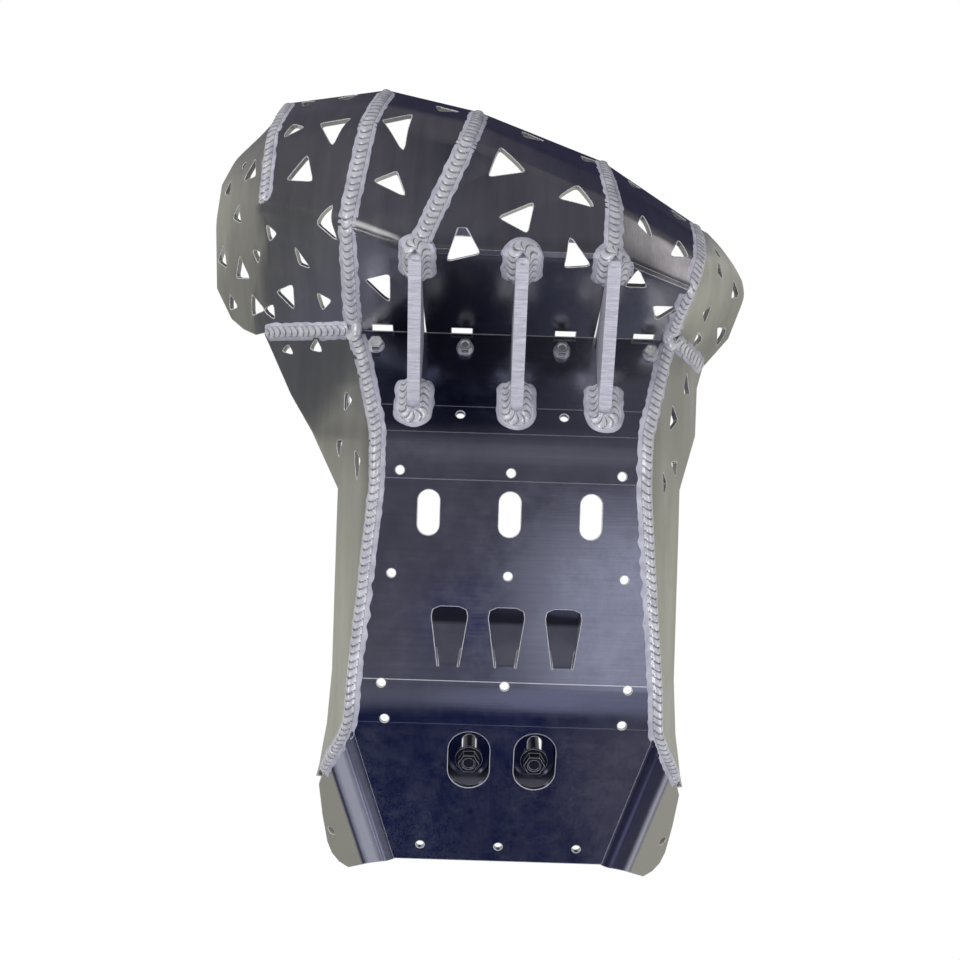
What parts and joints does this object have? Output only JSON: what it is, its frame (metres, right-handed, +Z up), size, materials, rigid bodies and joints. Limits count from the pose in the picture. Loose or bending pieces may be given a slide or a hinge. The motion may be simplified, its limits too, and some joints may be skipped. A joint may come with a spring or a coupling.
{
  "type": "motorcycle skid plate",
  "caption": "Belly plate of folded aluminium sheet with side flanges, rear wings, gusset fins and a welded exhaust pipe guard cut with triangles.",
  "frame": {"origin": "middle of the flat belly on its outer, downward face", "axes": "+Z up into the engine bay, -Y toward the front of the motorcycle, +X to the side of the short end of the pipe guard"},
  "size_m": [0.454, 0.6403, 0.156],
  "materials": {
    "belly_sheet": "brushed bare sheet",
    "folded_sheet": "brushed bare sheet",
    "bracket_sheet": "mill finish",
    "fin_bar": "sawn and deburred",
    "weld_bead": "as welded",
    "strap_steel": "zinc plated",
    "zinc_fastener": "zinc plated"
  },
  "bodies": {
    "root": {"bottom_plate": "belly_sheet", "left_flange": "folded_sheet", "right_flange": "folded_sheet", "guard_left": "folded_sheet", "guard_mid_left": "folded_sheet", "guard_center": "folded_sheet", "guard_mid_right": "folded_sheet", "guard_right": "folded_sheet", "fin_left": "fin_bar", "fin_center": "fin_bar", "fin_right": "fin_bar", "weld_guard_dart": "weld_bead", "weld_guard_seam_1": "weld_bead", "weld_guard_seam_2": "weld_bead", "weld_guard_seam_3": "weld_bead", "weld_guard_seam_4": "weld_bead", "weld_guard_to_left_flange": "weld_bead", "weld_guard_to_right_flange": "weld_bead", "weld_left_flange": "weld_bead", "weld_right_flange": "weld_bead", "weld_fin_left": "weld_bead", "weld_fin_center": "weld_bead", "weld_fin_right": "weld_bead", "front_bolts": "zinc_fastener", "front_nuts": "zinc_fastener", "front_strap_left": "strap_steel", "front_strap_right": "strap_steel", "rear_bracket": "bracket_sheet", "weld_rear_bracket": "weld_bead", "rear_bolts": "zinc_fastener"}
  },
  "joints": []
}
